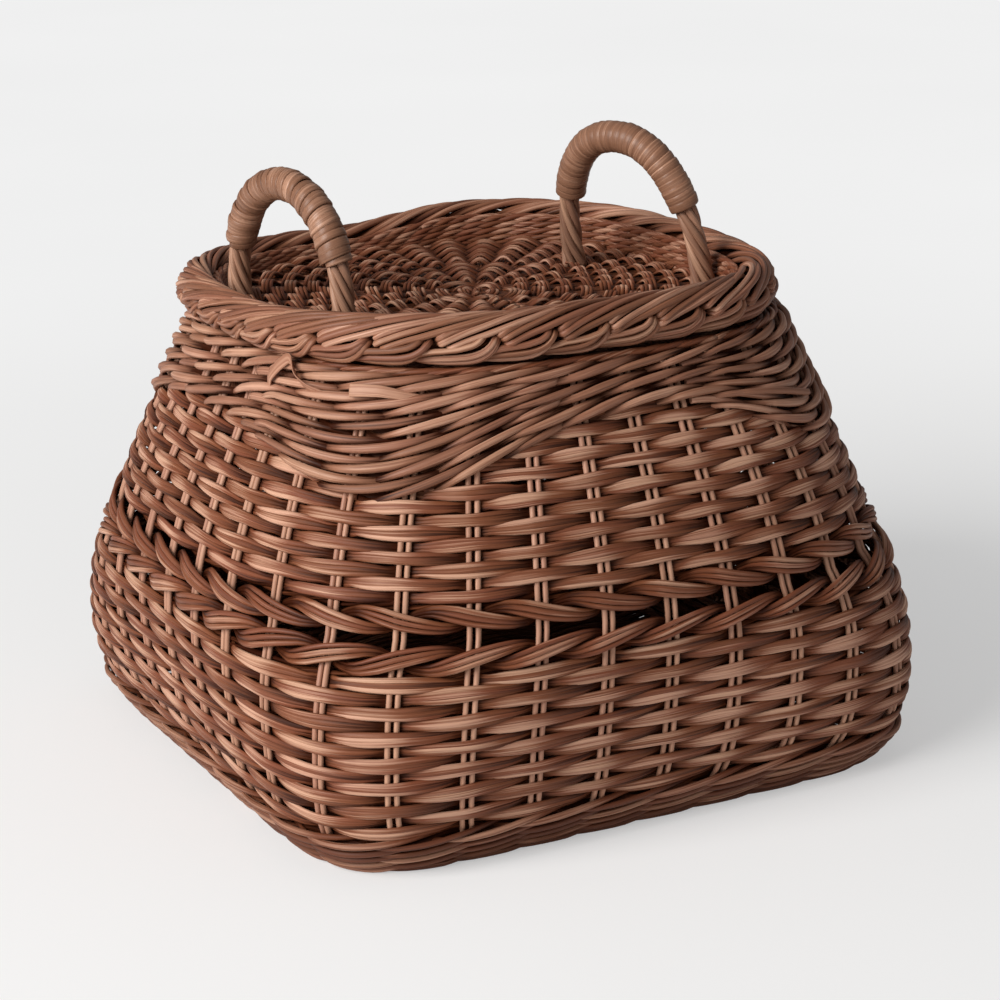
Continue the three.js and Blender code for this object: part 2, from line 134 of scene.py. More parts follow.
def smooth_curve(at, places, values):
    """Values on a smooth curve through the given ones, whose places always grow."""
    slopes = np.gradient(values, places)
    i = np.clip(np.searchsorted(places, at) - 1, 0, len(places) - 2)
    h = places[i + 1] - places[i]
    t = (at - places[i]) / h
    return ((2 * t**3 - 3 * t**2 + 1) * values[i] + (t**3 - 2 * t**2 + t) * h * slopes[i]
            + (3 * t**2 - 2 * t**3) * values[i + 1] + (t**3 - t**2) * h * slopes[i + 1])


def half_width(z):
    """Half-width of the wall at height z."""
    return smooth_curve(np.asarray(z, float), *np.array(WALL_LEVELS, float).T)


def squareness(z):
    """The power n of the rounded square |x|^n + |y|^n = a^n at height z."""
    return np.interp(z, (0, 131.5, RIM), (7.8, 2.96, 2.9))


def plan_outline(half, power):
    """Rounded square |x|^n + |y|^n = a^n at equal shares of its length, from the middle of the front."""
    angle = np.linspace(0, math.tau, 4 * PLAN_STEPS + 1) - math.pi / 2
    c, s = np.cos(angle), np.sin(angle)
    radius = half / (np.abs(c) ** power + np.abs(s) ** power) ** (1 / power)
    points = np.stack((radius * c, radius * s), axis=1)
    run = travelled(points)
    wanted = np.linspace(0, run[-1], PLAN_STEPS + 1)
    return np.stack([np.interp(wanted, run, column) for column in points.T], axis=1)


def unit(vectors):
    return vectors / np.linalg.norm(vectors, axis=-1, keepdims=True)


def travelled(line):
    """Length of a line up to each of its points."""
    return np.concatenate(([0], np.cumsum(np.linalg.norm(np.diff(line, axis=0), axis=1))))


class Wall:
    """The smooth wall of the basket as a table that is read at any share of the way round and height."""

    lowest = -4.0
    spacing = 2.0

    def __init__(self):
        heights = np.arange(self.lowest, RIM + 10, self.spacing)
        clamped = np.clip(heights, 0, RIM)
        rings = []
        for z, inside in zip(heights, clamped):
            # below the foot and above the rim the wall goes on at a slope
            half = half_width(inside) + (z - inside) * (0.52 if z < 0 else -0.41)
            outline = plan_outline(half, squareness(inside))
            rings.append(np.column_stack((outline, np.full(len(outline), z))))
        self.points = np.array(rings)
        around = np.empty_like(self.points)
        around[:, 1:-1] = self.points[:, 2:] - self.points[:, :-2]
        around[:, 0] = around[:, -1] = self.points[:, 1] - self.points[:, -2]
        upwards = np.gradient(self.points, axis=0)
        self.normals = unit(np.cross(around, upwards))

    def at(self, share, z, out=0.0):
        """Points beside the wall and the outward directions there."""
        share, z, out = np.broadcast_arrays(share, z, out)
        across = (share % 1) * PLAN_STEPS
        up = np.clip((z - self.lowest) / self.spacing, 0, len(self.points) - 1.001)
        i = np.minimum(across.astype(int), PLAN_STEPS - 1)
        j = up.astype(int)
        u, v = (across - i)[..., None], (up - j)[..., None]

        def blend(table):
            low = table[j, i] * (1 - u) + table[j, i + 1] * u
            high = table[j + 1, i] * (1 - u) + table[j + 1, i + 1] * u
            return low * (1 - v) + high * v

        normal = unit(blend(self.normals))
        return blend(self.points) + normal * out[..., None], normal


wall = Wall()
LID_SQUARENESS = 2.9
LID_UNIT = plan_outline(1.0, LID_SQUARENESS)
LID_NORMAL = unit(np.sign(LID_UNIT) * np.abs(LID_UNIT) ** (LID_SQUARENESS - 1))


def lid_ring(share, half):
    """Points of the lid's plan outline, and the directions square to it."""
    across = (np.asarray(share) % 1) * PLAN_STEPS
    i = np.minimum(across.astype(int), PLAN_STEPS - 1)
    u = (across - i)[..., None]
    flat = (LID_UNIT[i] * (1 - u) + LID_UNIT[i + 1] * u) * np.asarray(half)[..., None]
    normal = unit(LID_NORMAL[i] * (1 - u) + LID_NORMAL[i + 1] * u)
    return flat, normal


def stake_share(q):
    """Share of the way round at stake number q; the stakes stand at whole numbers."""
    return (q + STAKE_PHASE) / STAKES


def scallop(share):
    """Lower edge of the shoulder rows: a flat arch on each side, lower on the left side."""
    swing = np.cos(8 * math.pi * share)
    arch = swing + 0.25 * (1 - swing**2)
    left = ((1 - np.cos(math.tau * (share - 0.25))) / 2) ** 2
    return SCALLOP_MIDDLE + SCALLOP_DEPTH * arch - 9.0 * left * (1 + swing)


def smoothstep(value, low, high):
    t = np.clip((value - low) / (high - low), 0, 1)
    return t * t * (3 - 2 * t)


def stretch(share, start, full, fading, end):
    """1 between full and fading, as shares of the way round, and 0 before start and after end."""
    share = np.asarray(share) % 1
    return smoothstep(share, start, full) - smoothstep(share, fading, end)


def sag(share):
    """How far the lid's border is pressed down, as a share: 1 over the back left corner."""
    return stretch(share, 0.43, 0.52, 0.74, 0.89)


def crowded(share):
    """How far the two waist rows crowd together: 1 on the left side, less on the right, 0 elsewhere."""
    return 0.45 * stretch(share, 0.1, 0.16, 0.36, 0.44) + stretch(share, 0.58, 0.68, 0.81, 0.89)


def tighter(share):
    """1 round the back, where the plain weave is packed a little tighter, and 0 elsewhere."""
    return stretch(share, 0.16, 0.22, 0.6, 0.68)


def wave(places, values, blur):
    """A smooth repeating curve through the given places of one period."""
    samples = 512
    at = (np.arange(samples) + 0.5) / samples
    raw = np.interp(at, places, values, period=1)
    spectrum = np.fft.rfft(raw) * np.exp(-2 * (math.pi * np.arange(samples // 2 + 1) * blur) ** 2)
    smooth = np.fft.irfft(spectrum, samples)
    return lambda u: np.interp(np.asarray(u) % 1, at, smooth, period=1)


def wander(rng, amount, waves):
    """A slow random sway along a row, repeating once round the basket."""
    phases = rng.uniform(0, math.tau, waves)
    sizes = rng.normal(0, 1, waves) / math.sqrt(waves)
    turns = rng.integers(2, 14, waves)

    def sway(share):
        share = np.asarray(share)[..., None]
        return amount * (np.sin(math.tau * share * turns + phases) * sizes).sum(axis=-1)
    return sway


# Reeds: each starts as a straight round bar, and is then bent along its line

class Reed(NamedTuple):
    """A line with its outward direction, half-sizes, how much shade is painted on it (on the handle cane,
    random wear instead), and the reed's own colour.

    The sizes and the painted shade are given for each point, or once for the whole reed."""
    line: np.ndarray
    out: np.ndarray
    wide: float | np.ndarray
    deep: float | np.ndarray
    painted_shade_and_wear: float | np.ndarray
    tone: float
    hue: float


def random_reed(rng, line, out, wide, deep, painted_shade_and_wear, palest=1.0, darkest=0.0):
    """A reed with a tone and a hue of its own."""
    return Reed(line, out, wide, deep, painted_shade_and_wear, rng.uniform(darkest, palest), rng.uniform(0, 1))


def put(name, data):
    """A new object in the scene."""
    made = bpy.data.objects.new(name, data)
    bpy.context.scene.collection.objects.link(made)
    return made


def to_mesh(name, bm):
    """A mesh made of what is in bm, which is freed."""
    mesh = bpy.data.meshes.new(name)
    bm.to_mesh(mesh)
    bm.free()
    return mesh


straight_bars = {}


def straight_bar(sides, spans):
    """A straight round bar of unit radius and length, cut into spans; kept for reuse."""
    if (sides, spans) not in straight_bars:
        bm = bmesh.new()
        bmesh.ops.create_cone(bm, cap_ends=True, segments=sides, radius1=1, radius2=1, depth=1)
        lengthwise = [e for e in bm.edges if abs(e.verts[0].co.z - e.verts[1].co.z) > 0.5]
        bmesh.ops.subdivide_edges(bm, edges=lengthwise, cuts=spans - 1, use_grid_fill=True)
        for face in bm.faces:
            face.smooth = abs(face.normal.z) < 0.5
        straight_bars[(sides, spans)] = to_mesh("straight bar", bm)
    return straight_bars[(sides, spans)]


def lay_reeds(name, reeds, sides, kind, body, slot, *nodes, squared=1.0, seed=1):
    """One piece made of bent reeds. It rides on a body and stands for the named CAD nodes."""
    rng = np.random.default_rng(seed)
    bm = bmesh.new()
    for reed in reeds:
        bm.from_mesh(straight_bar(sides, len(reed.line) - 1))
    mesh = to_mesh(name, bm)
    bars = np.empty(len(mesh.vertices) * 3, np.float32)
    mesh.vertices.foreach_get("co", bars)
    bars = bars.reshape(-1, 3)
    place = np.empty_like(bars)
    grain = np.empty_like(bars)
    dye_and_shade = np.empty_like(bars)
    start = 0
    for reed in reeds:
        spans = len(reed.line) - 1
        count = (spans + 1) * sides
        bar = bars[start:start + count]
        ring = np.rint((bar[:, 2] + 0.5) * spans).astype(int)
        along = unit(np.gradient(reed.line, axis=0))
        out = unit(reed.out - along * (reed.out * along).sum(axis=1, keepdims=True))
        side = np.cross(along, out)
        wide, deep, painted_shade_and_wear = [np.broadcast_to(value, spans + 1)[ring]
                            for value in (reed.wide, reed.deep, reed.painted_shade_and_wear)]
        u = np.sign(bar[:, 0]) * np.abs(bar[:, 0]) ** squared * deep
        v = np.sign(bar[:, 1]) * np.abs(bar[:, 1]) ** squared * wide
        place[start:start + count] = reed.line[ring] + out[ring] * u[:, None] + side[ring] * v[:, None]
        run = travelled(reed.line)
        grain[start:start + count] = np.column_stack((run[ring] + rng.uniform(0, 9000), u, v))
        dye_and_shade[start:start + count] = np.column_stack((np.full((count, 2), (reed.tone, reed.hue)), painted_shade_and_wear))
        start += count
    mesh.vertices.foreach_set("co", (place * MM).ravel())
    for label, values in (("grain", grain * MM), ("dye_and_shade", dye_and_shade)):
        mesh.attributes.new(label, "FLOAT_VECTOR", "POINT").data.foreach_set("vector", values.ravel())
    mesh.materials.append(finish(kind))
    mesh.update()
    piece = put(name, mesh)
    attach(piece, body)
    if nodes:
        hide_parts(*nodes)


def spliced(rng, parity, low, high, beats, shortest, longest, steps):
    """The reeds of a row, as places along it. They end behind a stake, out of sight."""
    if high - low >= STAKES:
        low = parity + beats * rng.integers(0, STAKES // beats)
        high = low + STAKES
    hidden = np.ceil((low - parity) / beats) * beats + parity
    cuts = [low]
    at = hidden + beats * rng.integers(0, 3)
    while at < high - beats:
        if at > low + beats:
            cuts.append(at)
        at += beats * rng.integers(shortest, longest + 1)
    cuts.append(high)
    return [np.linspace(begin, end, int(round((end - begin) * steps)) + 1)
            for begin, end in zip(cuts[:-1], cuts[1:])]


def near_ends(q, reach):
    """1 at both ends of a reed, falling to 0 along it."""
    return np.exp(-(q - q[0]) / reach) + np.exp(-(q[-1] - q) / reach)


def turned_in(q, low, high, depth, reach):
    """How far a row turns in at its two ends, if it doesn't go all the way round."""
    if high - low >= STAKES:
        return 0
    return depth * np.clip(1 - np.minimum(q - low, high - q) / reach, 0, 1)


# Materials

def add_node(tree, kind, inputs=None, **settings):
    """Adds a node. An input is a value, the output that feeds it, or a node whose first output does."""
    made = tree.nodes.new("ShaderNode" + kind)
    for key, value in settings.items():
        setattr(made, key, value)
    for key, value in (inputs or {}).items():
        if isinstance(value, bpy.types.Node):
            value = value.outputs[0]
        if isinstance(value, bpy.types.NodeSocket):
            tree.links.new(value, made.inputs[key])
        else:
            made.inputs[key].default_value = value
    return made


def empty_tree(owner):
    """The cleared node tree of a material or world."""
    owner.use_nodes = True
    owner.node_tree.nodes.clear()
    return owner.node_tree


def set_ramp(ramp, stops):
    """Colours of a ramp from a list of place and colour."""
    elements = ramp.color_ramp.elements
    while len(elements) < len(stops):
        elements.new(0.5)
    for element, (position, shade) in zip(elements, stops):
        element.position = position
        element.color = shade


def mixed(a, b, share):
    return tuple(x * (1 - share) + y * share for x, y in zip(a, b))


STREAK_LENGTH_MM = 90.0
PATCH_MM = 38.0


def reed_material(name, deep, middle, bright, streak_mm, roughness, relief_mm):
    """Stained rattan: long streaks, one tone to each reed, painted shade where reeds dive and painted
    light where they stand out.
    """
    material = bpy.data.materials.get(name)
    if material:
        return material
    material = bpy.data.materials.new(name)
    tree = empty_tree(material)
    grain = add_node(tree, "Attribute", attribute_name="grain").outputs["Vector"]
    dye_and_shade = add_node(tree, "Attribute", attribute_name="dye_and_shade").outputs["Vector"]
    tone, hue, painted_shade_and_wear = add_node(tree, "SeparateXYZ", {0: dye_and_shade}).outputs
    long, wide = 1 / (STREAK_LENGTH_MM * MM), 1 / (streak_mm * MM)
    place = add_node(tree, "Mapping", {"Vector": grain, "Scale": (long, wide, wide)})
    broad = add_node(tree, "TexNoise", {"Vector": place, "Scale": 1.0, "Detail": 3.0, "Roughness": 0.6})
    place = add_node(tree, "Mapping", {"Vector": grain, "Scale": (long * 2.2, wide * 2.6, wide * 2.6)})
    fine = add_node(tree, "TexNoise", {"Vector": place, "Scale": 1.0, "Detail": 2.0, "Roughness": 0.55})
    where = add_node(tree, "TexCoord").outputs["Object"]
    patch = add_node(tree, "TexNoise", {"Vector": where, "Scale": 1 / (PATCH_MM * MM), "Detail": 3.0})
    streaks = add_node(tree, "Math", {0: fine, 1: 0.45, 2: broad}, operation="MULTIPLY_ADD")
    paleness = streaks
    # the per-point value of the attribute paints shade where reeds dive, and light where it is below zero
    for source, weight in ((tone, 0.42), (patch, 0.3), (painted_shade_and_wear, -0.6)):
        paleness = add_node(tree, "Math", {0: source, 1: weight, 2: paleness}, operation="MULTIPLY_ADD")
    spread = add_node(tree, "MapRange", {"Value": paleness, "From Min": 0.55, "From Max": 1.45})
    ramp = add_node(tree, "ValToRGB", {"Fac": spread})
    set_ramp(ramp, [(0.0, deep), (0.34, mixed(deep, middle, 0.72)), (0.58, middle), (1.0, bright)])
    shift = add_node(tree, "MapRange", {"Value": hue, "To Min": 0.497, "To Max": 0.503})
    warmer = add_node(tree, "HueSaturation", {"Color": ramp, "Hue": shift})
    gloss = add_node(tree, "MapRange", {"Value": streaks, "From Min": 0.4, "From Max": 1.0,
                                        "To Min": roughness + 0.12, "To Max": roughness - 0.06})
    bump = add_node(tree, "Bump", {"Strength": 0.7, "Distance": relief_mm * MM, "Height": streaks})
    # parts that dive are dusty and matt
    # where shade is painted, the specular is turned down too, so that parts that dive look matt and dark
    sheen = add_node(tree, "MapRange", {"Value": painted_shade_and_wear, "To Min": 0.32, "To Max": 0.03})
    surface = add_node(tree, "BsdfPrincipled", {
        "Base Color": warmer, "Roughness": gloss, "IOR": 1.5, "Normal": bump, "Specular IOR Level": sheen})
    add_node(tree, "OutputMaterial", {"Surface": surface})
    return material


def finish(kind):
    """The material of each sort of reed: dark, middle and pale colours, streak, roughness, relief."""
    shades = bpy.context.scene.basket_colours
    deep, middle, bright = tuple(shades.deep), tuple(shades.middle), tuple(shades.bright)
    stake, cane = tuple(shades.stake), tuple(shades.cane)
    table = {
        # peeled round reed, stained: smoother than the weavers, and paler, partly as a painted highlight
        "stake": ("Stained round reed, stakes", mixed(deep, stake, 0.3), stake, mixed(bright, stake, 0.2),
                  1.1, 0.46, 0.10),
        # split reed, stained and matt, with coarse streaks
        "weaver": ("Stained split reed, weavers", deep, middle, bright, 0.9, 0.55, 0.16),
        # round reed, stained, worn to a low shine on the outer side
        "twine": ("Stained round reed, twined rows", deep, middle, bright, 1.2, 0.48, 0.14),
        # round reed of the shoulder, with a paler middle colour
        "shoulder": ("Stained round reed, shoulder rows", deep, mixed(middle, bright, 0.26), bright,
                     1.2, 0.48, 0.14),
        # round reed of the foot, darker all over as painted shade near the floor
        "foot": ("Stained round reed, foot rows", deep, mixed(middle, deep, 0.32),
                 mixed(middle, bright, 0.6), 1.2, 0.52, 0.14),
        # round reed of the plait, a little shiny, with a paler middle colour as painted light on its
        # upward-facing top
        "plait": ("Stained round reed, plait", deep, mixed(middle, bright, 0.14), bright, 1.2, 0.46, 0.14),
        # fine reed of the disc, darker
        "disc": ("Stained fine reed, disc", deep, mixed(middle, deep, 0.1), bright, 0.9, 0.55, 0.12),
        # twisted strands of the handle core
        "strand": ("Stained round reed, handle strands", deep, mixed(cane, bright, 0.24), bright,
                   1.1, 0.46, 0.16),
        # flat cane with its shiny skin outside
        "cane": ("Flat rattan cane, skin side out", mixed(deep, cane, 0.12), cane,
                 mixed(bright, cane, 0.1), 1.3, 0.36, 0.16),
    }
    return reed_material(*table[kind])


def paper_material(shade):
    """Matt paper. It glows to the eye alone, and more with distance, so that it stays evenly white."""
    paper = bpy.data.materials.new("Matt studio paper")
    tree = empty_tree(paper)
    where = add_node(tree, "TexCoord").outputs["Object"]
    cloud = add_node(tree, "TexNoise", {"Vector": where, "Scale": 1.3})
    tint = add_node(tree, "ValToRGB", {"Fac": cloud})
    set_ramp(tint, [(0.3, mixed(shade, (0, 0, 0, 1), 0.02)), (0.7, shade)])
    matt = add_node(tree, "BsdfPrincipled", {"Base Color": tint, "Roughness": 0.95})
    away = add_node(tree, "VectorMath", {0: where}, operation="LENGTH").outputs["Value"]
    share, strength = [
        add_node(tree, "MapRange", {"Value": away, "From Min": 0.25, "From Max": 1.5,
                                    "To Min": near, "To Max": far}, interpolation_type="SMOOTHSTEP")
        for near, far in ((0.43, 1.0), (1.0, 0.91))]
    glow = add_node(tree, "Emission", {"Color": tint, "Strength": strength})
    path = add_node(tree, "LightPath").outputs["Is Camera Ray"]
    seen = add_node(tree, "Math", {0: path, 1: share}, operation="MULTIPLY")
    both = add_node(tree, "MixShader", {0: seen, 1: matt, 2: glow})
    add_node(tree, "OutputMaterial", {"Surface": both})
    return paper


def backdrop(shade, fill):
    """Even soft light on the basket; the eye sees a plain colour instead."""
    world = bpy.data.worlds.new("plain studio")
    tree = empty_tree(world)
    path = add_node(tree, "LightPath").outputs["Is Camera Ray"]
    light = add_node(tree, "Background", {"Color": (1, 1, 1, 1), "Strength": fill})
    seen = add_node(tree, "Background", {"Color": shade, "Strength": 1.0})
    choice = add_node(tree, "MixShader", {0: path, 1: light, 2: seen})
    add_node(tree, "OutputWorld", {"Surface": choice})
    return world


# Upright stakes

# heights of the two ends of a stake
STAKE_REACH = (8.2, 258.6)
# length of the way round for a half-width of 1
WAY_ROUND = 7.04


def stake_reeds(k, rng, sizes):
    """Two round reeds side by side, from the foot ledge up to the rim."""
    z = np.linspace(*STAKE_REACH, 46)
    reeds = []
    lean = rng.normal(0, 0.35)
    # the pairs of the left side stand closer
    spread = sizes.stake_spread / MM * (0.76 if 22 < k < 32 else 1)
    for side in (-1, 1):
        sway = side * spread / 2 + rng.normal(0, 0.18) + lean * np.sin(z / 41 + k)
        share = stake_share(k) + sway / (WAY_ROUND * half_width(z))
        line, out = wall.at(share, z, 0.12 * np.sin(z / 9 + k + side))
        radius = sizes.stake / MM / 2 * rng.uniform(0.95, 1.05)
        reeds.append(random_reed(rng, line, out, radius, radius, 0, darkest=0.2))
    return reeds


# Plain over-and-under weave

DISC_DEPTH = wave((0.0, 0.055, 0.445, 0.5, 0.555, 0.945), (1, 1, -1, -1, -1, 1), 0.03)
BAND_DEPTH = wave((0.0, 0.05, 0.18, 0.30, 0.39, 0.45, 0.5, 0.55, 0.61, 0.70, 0.82, 0.95),
                  (1.0, 0.98, 0.74, 0.44, -0.1, -0.9, -1.0, -0.9, -0.1, 0.44, 0.74, 0.98), 0.014)
# how far a weaver stands out from the stakes
WEAVE_SWING = 2.6


def weaver_row(rng, row, middle, pitch, sizes, low=0, high=STAKES, ceiling=None):
    """One row: three fine reeds side by side that pass over a stake and under the next."""
    reeds = []
    parity = row % 2
    sway = wander(rng, 0.4, 5)
    thick = sizes.weaver / MM / 2
    for strand in (-1, 0, 1):
        for q in spliced(rng, parity + 1, low, high, 2, 4, 7, 12):
            share = stake_share(q)
            swing = BAND_DEPTH((q - parity) / 2)
            # the three reeds spread over a stake, close up where they dive and open again behind
            narrow = 0.78 + 0.28 * tighter(share)
            behind = 0.42 + 0.28 * tighter(share)
            pinch = (narrow + (1.08 - narrow) * smoothstep(swing, -0.1, 0.8)
                     + behind * np.clip(-swing, 0, 1))
            # painted shade where the reeds dive behind a stake and on the side that faces away from the
            # light, and painted light where they pass over a stake on the side that faces it
            shade = 0.5 - 0.64 * swing + 0.34 * np.sin(math.pi * (q - parity))
            z = middle + sway(share) + strand * pitch * 0.30 * pinch + rng.normal(0, 0.12)
            z = z + 0.5 * np.sin(q * math.pi + strand + row) * np.clip(swing, 0, 1)
            if ceiling:
                z = np.minimum(z, ceiling(share) + 1.5)
            out = WEAVE_SWING * swing * rng.uniform(0.93, 1.07) - 0.35 * abs(strand)
            out = out - 0.5 * near_ends(q, 0.12) - turned_in(q, low, high, 2.4, 0.9)
            line, normal = wall.at(share, z, out)
            tall = pitch * 0.25 * pinch * rng.uniform(0.95, 1.05)
            tilt = unit(normal + np.array([0, 0, 0.22 * strand]))
            reeds.append(random_reed(rng, line, tilt, tall, thick, np.clip(shade, -0.4, 1)))
    return reeds


# Twined rows: each strand passes over one stake or two, then behind one, and climbs or falls as it goes

# depth, climb and spread of the reeds along one repeat, for two strands and for three
TWINING = {
    2: (wave((0.0, 0.12, 0.22, 0.32, 0.40, 0.46, 0.56, 0.62, 0.72, 0.82, 0.92),
             (1.25, 1.1, 0.8, 0.3, -0.3, -1, -1, -0.6, 0.15, 0.75, 1.15), 0.016),
        wave((0.0, 0.14, 0.28, 0.38, 0.44, 0.56, 0.64, 0.74, 0.88),
             (-0.05, -0.55, -0.95, -1.0, -0.8, 0.4, 0.85, 1.0, 0.5), 0.016),
        wave((0.0, 0.2, 0.34, 0.44, 0.56, 0.66, 0.76, 0.88),
             (1.0, 0.8, 0.5, 0.4, 0.4, 0.5, 0.78, 1.02), 0.02)),
    3: (wave((0.0, 0.10, 0.20, 0.333, 0.42, 0.50, 0.60, 0.72, 0.80, 0.88, 0.95),
             (1.35, 1.4, 1.2, 0.75, 0.3, -0.3, -1, -1, -0.3, 0.6, 1.15), 0.014),
        wave((0.0, 0.333, 0.56, 0.60, 0.72, 0.78), (-0.45, 0.4, 0.95, 0.8, -0.8, -1.0), 0.02),
        wave((0.0, 0.12, 0.30, 0.46, 0.58, 0.70, 0.82, 0.92),
             (0.94, 1.06, 1.0, 0.82, 1.5, 1.5, 0.72, 0.8), 0.02)),
}


def twined_row(rng, strands, bundle, middle, rise, tall, deep, swing, lift, low=0, high=STAKES):
    """One twined row. middle, rise and tall may change round the basket; a bundle holds several reeds."""
    depth, climb, spread = TWINING[strands]
    reeds = []
    sway = wander(rng, 0.4, 5)
    for strand in range(strands):
        hidden = strand + strands - 1
        for member in range(bundle):
            offset = member - (bundle - 1) / 2
            for q in spliced(rng, hidden, low, high, strands, 3, 5, 9):
                share = stake_share(q)
                u = (q - strand) / strands
                out = swing * depth(u)
                z = (middle(share) + sway(share) + rise(share) * climb(u)
                     + offset * 1.93 * tall(share) * spread(u) + rng.normal(0, 0.1))
                out = out + lift - 0.3 * abs(offset) - 0.5 * near_ends(q, 0.1)
                out = out - turned_in(q, low, high, 3.2, 1.4)
                line, normal = wall.at(share, z, out)
                size = rng.uniform(0.88, 1.1)
                width = 0.55 + 0.45 * spread(u) if bundle > 1 else spread(u)
                # no reed reaches below the ground
                line[:, 2] = np.maximum(line[:, 2], tall(share) * size * width + 0.2)
                # the last value is painted shade where the reed dives behind a stake
                reeds.append(random_reed(rng, line, normal, tall(share) * size * width,
                                         deep * size * np.clip(width, 0.7, 1.05),
                                         np.clip(0.8 - 0.75 * depth(u), 0, 1)))
    return reeds


def steady(value):
    """The same value all the way round."""
    return lambda share: value + 0 * share


def once_round(rng):
    """Places all the way round, from anywhere."""
    return np.linspace(0, 1, 301) + rng.uniform(0, 1)


def rope(rng, strands, twist, centre, reach_out, reach_up, thick, tall, place=wall.at, painted_shade_and_wear=0.1):
    """Strands twisted round each other along a ring.

    twist is the number of turns round the basket, and centre the height and the distance out."""
    reeds = []
    for strand in range(strands):
        share = once_round(rng)
        turn = math.tau * (share * twist + strand / strands)
        z, out = centre
        line, normal = place(share, z + reach_up * np.sin(turn), out + reach_out * np.cos(turn))
        line[-1] = line[0]
        facing = unit(normal * np.cos(turn)[:, None] + np.outer(np.sin(turn), (0, 0, 0.9)))
        reeds.append(random_reed(rng, line, facing, tall, thick, painted_shade_and_wear))
    return reeds


def shoulder_reeds(rng, sizes):
    """Six twined rows that crowd together at the middle of each side, where every other one dives."""
    reeds = []
    rows = 6
    top = 259.8
    thick = sizes.twine / MM / 2

    def spacing(share):
        return (top - scallop(share)) / rows

    def alone(share):
        """1 at the middle of each side, where only every other row is there, and 0 at the corners."""
        corner = (1 - np.cos(8 * math.pi * share)) / 2
        return 1 - np.clip((corner - 0.08) / 0.4, 0, 1)

    def rise(share):
        return 0.56 * spacing(share) * (1 + alone(share))

    def tall(share):
        return np.minimum(thick * 1.04, 0.265 * spacing(share) * (1 + alone(share)))

    def shade_lining(row):
        """A flat reed behind the rows, painted dark as shade, so that the shoulder is closed."""
        share = once_round(rng)
        line, normal = wall.at(share, top - (row + 0.5) * spacing(share) / 2, -2.7)
        line[-1] = line[0]
        return random_reed(rng, line, normal, 0.29 * spacing(share), 0.95, 0.9)

    reeds += [shade_lining(row) for row in range(2 * rows)]
    for row in range(rows):
        def middle(share, row=row):
            return top - (row + 0.5 + 0.5 * (1 - row % 2) * alone(share)) * spacing(share)

        shape = (middle, rise, tall, thick * 0.9, 3.7)
        if row % 2 == 0:
            reeds += twined_row(rng, 3, 1, *shape, 0.6)
            continue
        # the rows between go round the corners only
        for side in range(4):
            corner = STAKES * (side + 0.5) / 4 - STAKE_PHASE
            reeds += twined_row(rng, 3, 1, *shape, 0.4, corner - 3.2, corner + 3.2)
    return reeds + [shade_lining(row) for row in (2 * rows, 2 * rows + 1)]


# stake number, height, distance out, half-width and turn of the flat side in degrees; then depth and tone
LOOSE_ENDS = (
    # folded flat strip
    (((28.78, 242.0, 3.5, 2.6, 0), (28.9, 247.0, 8.2, 3.2, 0), (29.15, 254.0, 9.6, 3.4, 5),
      (29.42, 259.8, 9.8, 3.0, 15), (29.54, 256.0, 9.8, 2.8, 60), (29.66, 251.0, 9.2, 3.0, 70),
      (29.95, 246.8, 8.0, 3.0, 55), (30.3, 244.6, 3.0, 2.8, 30)), 0.5, 0.75),
    # square strip end
    (((30.84, 248.6, 8.6, 3.6, 0), (31.1, 249.3, 8.8, 3.6, 0), (31.4, 249.6, 8.2, 3.3, 0),
      (31.75, 248.6, 6.0, 2.6, 0), (32.1, 247.6, 2.0, 2.2, 0)), 0.714, 1.1),
    # cut reed
    (((1.9, 231.5, 2.0, 1.7, 0), (2.3, 230.2, 6.8, 1.8, 0), (2.8, 227.6, 8.4, 1.8, 0),
      (3.3, 224.0, 8.8, 1.8, 0), (3.9, 218.6, 8.6, 1.8, 0)), 1.714, 0.45),
)


def loose_ends():
    """The three ends of reed that stand out of the shoulder rows."""
    ends = []
    kernel = np.array([1, 2, 3, 2, 1]) / 9
    for knots, deep, tone in LOOSE_ENDS:
        knots = np.array(knots, float)
        run = travelled(knots[:, :3] * (STAKE_PITCH, 1, 1))
        t = np.linspace(0, run[-1], 33)
        bent = [np.pad(np.interp(t, run, column), 2, mode="edge") for column in knots.T]
        q, z, out, wide, turn = [np.convolve(column, kernel, "valid") for column in bent]
        line, normal = wall.at(stake_share(q), z, out)
        along = unit(np.gradient(line, axis=0))
        turn = np.radians(turn)[:, None]
        facing = normal * np.cos(turn) + np.cross(along, normal) * np.sin(turn)
        ends.append(Reed(line, facing, wide, deep, 0.1, tone, 0.5))
    return ends


# Plaited border of the lid, on the surface of a rounded ring

PLAIT_MIDDLE = 276.6
PLAIT_OUT = 9.0
PLAIT_UP = 9.9
BUNDLES = 32
# place along in bundle pitches, angle round the ring in degrees (0 outside, 90 crest), lift in mm
LOWER_LEAF = ((-0.78, -104, -5.5), (-0.56, -76, -2.2), (-0.36, -54, 0.6), (-0.1, -41, 2.0),
              (0.2, -35, 3.0), (0.46, -29, 3.6), (0.66, -18, 3.5), (0.79, -3, 2.4), (0.86, 10, -0.4),
              (0.89, 18, -6.0))
UPPER_LEAF = ((0.02, -2, -6.0), (0.05, 1, 0.0), (0.13, 8, 2.6), (0.27, 17, 2.3), (0.47, 29, 2.1),
              (0.76, 43, 2.4), (1.12, 58, 3.3), (1.6, 76, 3.6), (2.1, 95, 3.0), (2.6, 116, 1.4),
              (3.0, 136, -0.8), (3.4, 160, -4.5))
# how close the reeds of a leaf lie along it
LOWER_PINCH = (0.5, 0.6, 1.08, 1.05, 0.55)
UPPER_PINCH = (0.8, 1.0, 1.05, 1.0, 0.9)
# length of one pitch along the ring, and of one degree round it
PLAIT_PITCH = 32.6
PLAIT_DEGREE = 0.185


